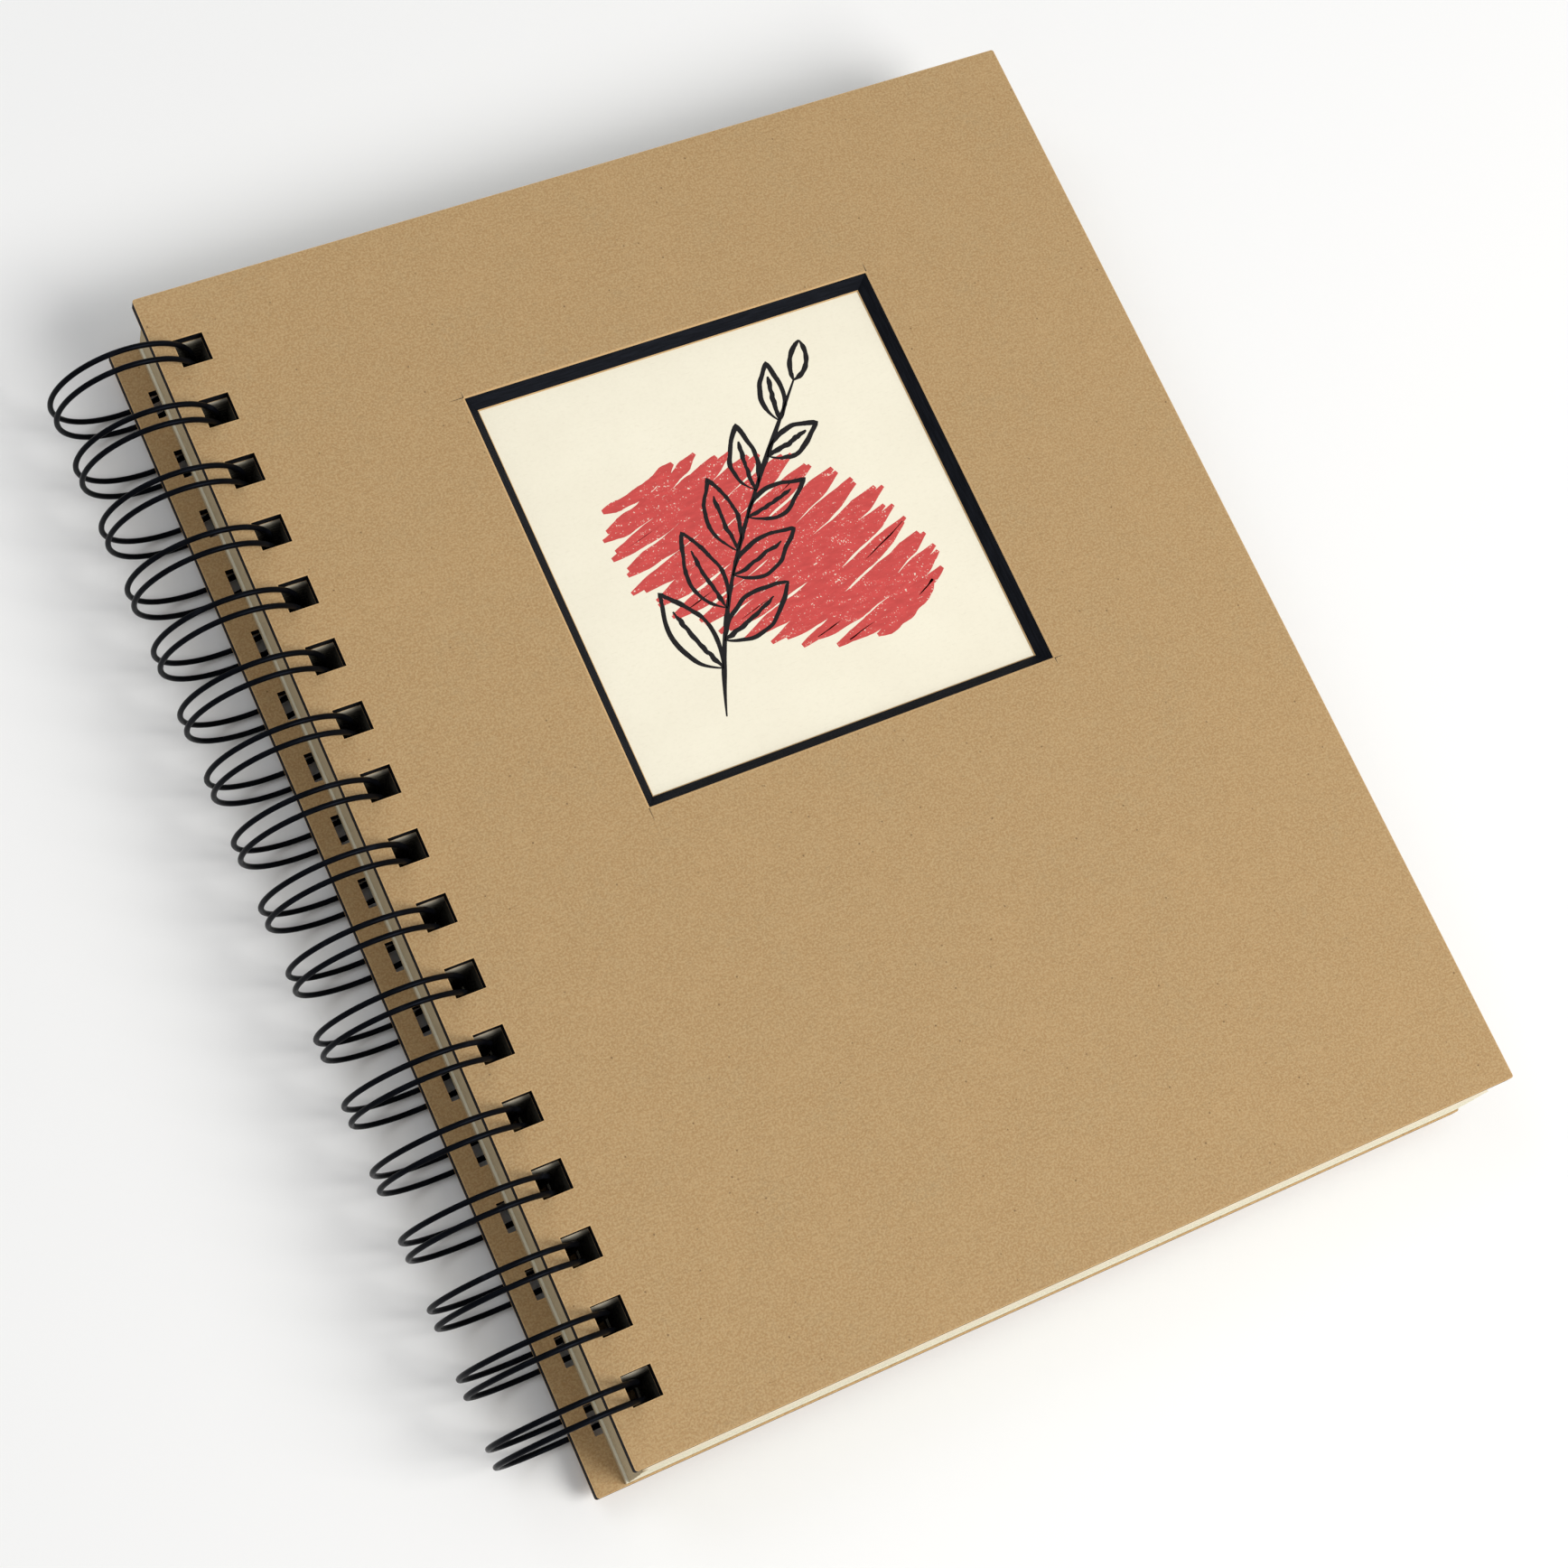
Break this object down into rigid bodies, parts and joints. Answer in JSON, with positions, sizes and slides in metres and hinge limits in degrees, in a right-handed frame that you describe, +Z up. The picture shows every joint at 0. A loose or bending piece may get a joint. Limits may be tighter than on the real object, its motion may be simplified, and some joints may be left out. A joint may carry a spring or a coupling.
{
  "type": "sketchbook",
  "caption": "Wire-bound hardcover sketchbook with kraft covers, a square bevelled window in the front cover and a block of cream sheets.",
  "frame": {"origin": "middle of the bounding box, at the height of the lowest wire", "axes": "+X from the spine to the fore-edge, +Y along the spine towards the head of the book, +Z up, from the back cover to the front cover"},
  "size_m": [0.2027, 0.2296, 0.0284],
  "materials": {
    "kraft_paper": "matt brown kraft paper with fine fibres",
    "black_board": "matt solid black board",
    "drawing_paper": "uncoated cream paper",
    "title_paper": "smooth uncoated cream paper",
    "coated_wire": "black nylon-coated steel wire"
  },
  "bodies": {
    "back_cover": {"back_outer_paper": "kraft_paper", "back_board": "black_board", "back_inner_paper": "kraft_paper"},
    "wire_comb": {"wire_comb": "coated_wire"},
    "packet_01": {"page_packet_01": "drawing_paper"},
    "packet_02": {"page_packet_02": "drawing_paper"},
    "packet_03": {"page_packet_03": "drawing_paper"},
    "packet_04": {"page_packet_04": "drawing_paper"},
    "packet_05": {"page_packet_05": "drawing_paper"},
    "packet_06": {"page_packet_06": "drawing_paper"},
    "packet_07": {"page_packet_07": "drawing_paper"},
    "packet_08": {"page_packet_08": "drawing_paper"},
    "packet_09": {"page_packet_09": "drawing_paper"},
    "packet_10": {"page_packet_10": "drawing_paper"},
    "packet_11": {"page_packet_11": "drawing_paper"},
    "packet_12": {"page_packet_12": "drawing_paper"},
    "title_leaf": {"title_page": "title_paper"},
    "front_cover": {"front_inner_paper": "kraft_paper", "front_board": "black_board", "front_outer_paper": "kraft_paper"}
  },
  "joints": [
    {"name": "packet_01_turn", "type": "hinge", "parent": "back_cover", "child": "packet_01", "pos_m": [-0.08714, 0, 0.01422], "axis": [0, -1, 0], "range_deg": [0, 180]},
    {"name": "packet_02_turn", "type": "hinge", "parent": "packet_01", "child": "packet_02", "pos_m": [-0.08714, 0, 0.01422], "axis": [0, -1, 0], "range_deg": [0, 180]},
    {"name": "packet_03_turn", "type": "hinge", "parent": "packet_02", "child": "packet_03", "pos_m": [-0.08714, 0, 0.01422], "axis": [0, -1, 0], "range_deg": [0, 180]},
    {"name": "packet_04_turn", "type": "hinge", "parent": "packet_03", "child": "packet_04", "pos_m": [-0.08714, 0, 0.01422], "axis": [0, -1, 0], "range_deg": [0, 180]},
    {"name": "packet_05_turn", "type": "hinge", "parent": "packet_04", "child": "packet_05", "pos_m": [-0.08714, 0, 0.01422], "axis": [0, -1, 0], "range_deg": [0, 180]},
    {"name": "packet_06_turn", "type": "hinge", "parent": "packet_05", "child": "packet_06", "pos_m": [-0.08714, 0, 0.01422], "axis": [0, -1, 0], "range_deg": [0, 180]},
    {"name": "packet_07_turn", "type": "hinge", "parent": "packet_06", "child": "packet_07", "pos_m": [-0.08714, 0, 0.01422], "axis": [0, -1, 0], "range_deg": [0, 180]},
    {"name": "packet_08_turn", "type": "hinge", "parent": "packet_07", "child": "packet_08", "pos_m": [-0.08714, 0, 0.01422], "axis": [0, -1, 0], "range_deg": [0, 180]},
    {"name": "packet_09_turn", "type": "hinge", "parent": "packet_08", "child": "packet_09", "pos_m": [-0.08714, 0, 0.01422], "axis": [0, -1, 0], "range_deg": [0, 180]},
    {"name": "packet_10_turn", "type": "hinge", "parent": "packet_09", "child": "packet_10", "pos_m": [-0.08714, 0, 0.01422], "axis": [0, -1, 0], "range_deg": [0, 180]},
    {"name": "packet_11_turn", "type": "hinge", "parent": "packet_10", "child": "packet_11", "pos_m": [-0.08714, 0, 0.01422], "axis": [0, -1, 0], "range_deg": [0, 180]},
    {"name": "packet_12_turn", "type": "hinge", "parent": "packet_11", "child": "packet_12", "pos_m": [-0.08714, 0, 0.01422], "axis": [0, -1, 0], "range_deg": [0, 180]},
    {"name": "title_leaf_turn", "type": "hinge", "parent": "packet_12", "child": "title_leaf", "pos_m": [-0.08714, 0, 0.01422], "axis": [0, -1, 0], "range_deg": [0, 180]},
    {"name": "front_cover_turn", "type": "hinge", "parent": "title_leaf", "child": "front_cover", "pos_m": [-0.08714, 0, 0.01422], "axis": [0, -1, 0], "range_deg": [0, 180]},
    {"name": "wire_comb_slip", "type": "hinge", "parent": "back_cover", "child": "wire_comb", "pos_m": [-0.08714, 0, 0.01422], "axis": [0, -1, 0], "range_deg": [-67, 1]}
  ]
}
